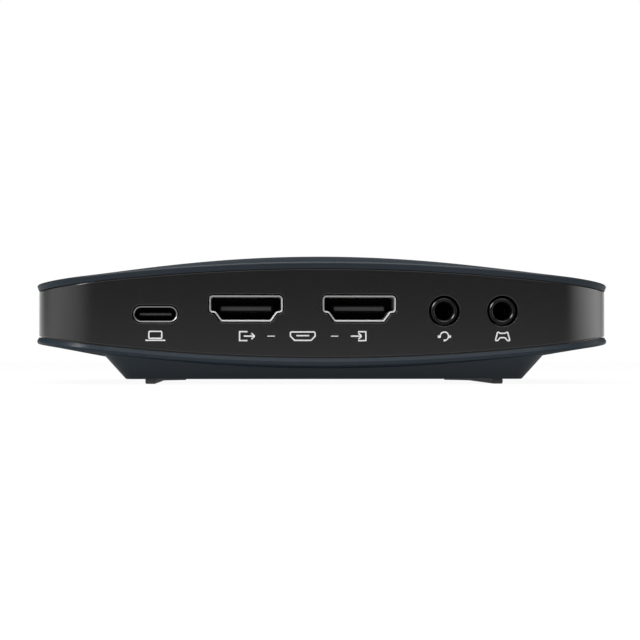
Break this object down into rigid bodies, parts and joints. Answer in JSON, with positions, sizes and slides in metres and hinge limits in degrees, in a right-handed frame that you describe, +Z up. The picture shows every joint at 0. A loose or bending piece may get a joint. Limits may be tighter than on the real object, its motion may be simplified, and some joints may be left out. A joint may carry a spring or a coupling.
{
  "type": "video capture box",
  "caption": "Flat lens-shaped video capture box: crowned navy covers over an arched grey band that holds a data socket, digital video in and out sockets and audio jacks.",
  "frame": {"origin": "middle of the covers' outline, on the plane that the feet stand on", "axes": "+Z up, -Y out of the sockets at the rear, +X to the right when the sockets face the viewer"},
  "size_m": [0.12, 0.07, 0.0274],
  "materials": {
    "cover": "dark navy, fine satin texture",
    "band": "dark grey, smooth satin gloss",
    "foot": "black, matt",
    "screw": "dark zinc",
    "board": "black solder mask",
    "shell": "nickel plated sheet",
    "insulator": "black moulding",
    "contact": "gold plated",
    "spring": "dark spring bronze",
    "chip": "black epoxy",
    "pad": "soft, pale blue",
    "sink": "extruded, plain",
    "can": "drawn can",
    "coil": "pressed iron powder",
    "ceramic": "brown ceramic",
    "emitter": "white body",
    "window": "milky clear bar"
  },
  "bodies": {
    "case": {"top_cover": "cover", "bottom_cover": "cover", "port_band": "band", "foot_left": "foot", "foot_right": "foot", "case_screws": "screw", "main_board": "board", "data_shell": "shell", "video_out_shell": "shell", "video_in_shell": "shell", "data_tongue": "insulator", "video_out_tongue": "insulator", "video_in_tongue": "insulator", "headset_jack": "insulator", "controller_jack": "insulator", "data_contact_strips": "contact", "video_out_contact_strips": "contact", "video_in_contact_strips": "contact", "video_processor": "chip", "memory_chips": "chip", "video_receiver_chip": "chip", "video_driver_chip": "chip", "data_bridge_chip": "chip", "audio_chip": "chip", "flash_chip": "chip", "thermal_pad": "pad", "heat_sink": "sink", "clock_crystal": "can", "capacitor_cans": "can", "power_coils": "coil", "small_capacitors": "ceramic", "status_emitters": "emitter", "light_window": "window"},
    "headset_tip_spring": {"headset_tip_spring": "spring"},
    "headset_ring_spring": {"headset_ring_spring": "spring"},
    "headset_sleeve_spring": {"headset_sleeve_spring": "spring"},
    "controller_tip_spring": {"controller_tip_spring": "spring"},
    "controller_ring_spring": {"controller_ring_spring": "spring"},
    "controller_sleeve_spring": {"controller_sleeve_spring": "spring"}
  },
  "joints": [
    {"name": "headset_tip_flex", "type": "hinge", "parent": "case", "child": "headset_tip_spring", "pos_m": [0.024, -0.0287, 0.01707], "axis": [1, 0, 0], "range_deg": [0, 5], "stiffness_Nm_per_rad": 0.12},
    {"name": "headset_ring_flex", "type": "hinge", "parent": "case", "child": "headset_ring_spring", "pos_m": [0.02618, -0.0287, 0.0149], "axis": [0, 0, -1], "range_deg": [0, 5], "stiffness_Nm_per_rad": 0.12},
    {"name": "headset_sleeve_flex", "type": "hinge", "parent": "case", "child": "headset_sleeve_spring", "pos_m": [0.02183, -0.0287, 0.0149], "axis": [0, 0, 1], "range_deg": [0, 5], "stiffness_Nm_per_rad": 0.12},
    {"name": "controller_tip_flex", "type": "hinge", "parent": "case", "child": "controller_tip_spring", "pos_m": [0.0359, -0.0287, 0.01707], "axis": [1, 0, 0], "range_deg": [0, 5], "stiffness_Nm_per_rad": 0.12},
    {"name": "controller_ring_flex", "type": "hinge", "parent": "case", "child": "controller_ring_spring", "pos_m": [0.03807, -0.0287, 0.0149], "axis": [0, 0, -1], "range_deg": [0, 5], "stiffness_Nm_per_rad": 0.12},
    {"name": "controller_sleeve_flex", "type": "hinge", "parent": "case", "child": "controller_sleeve_spring", "pos_m": [0.03372, -0.0287, 0.0149], "axis": [0, 0, 1], "range_deg": [0, 5], "stiffness_Nm_per_rad": 0.12}
  ]
}
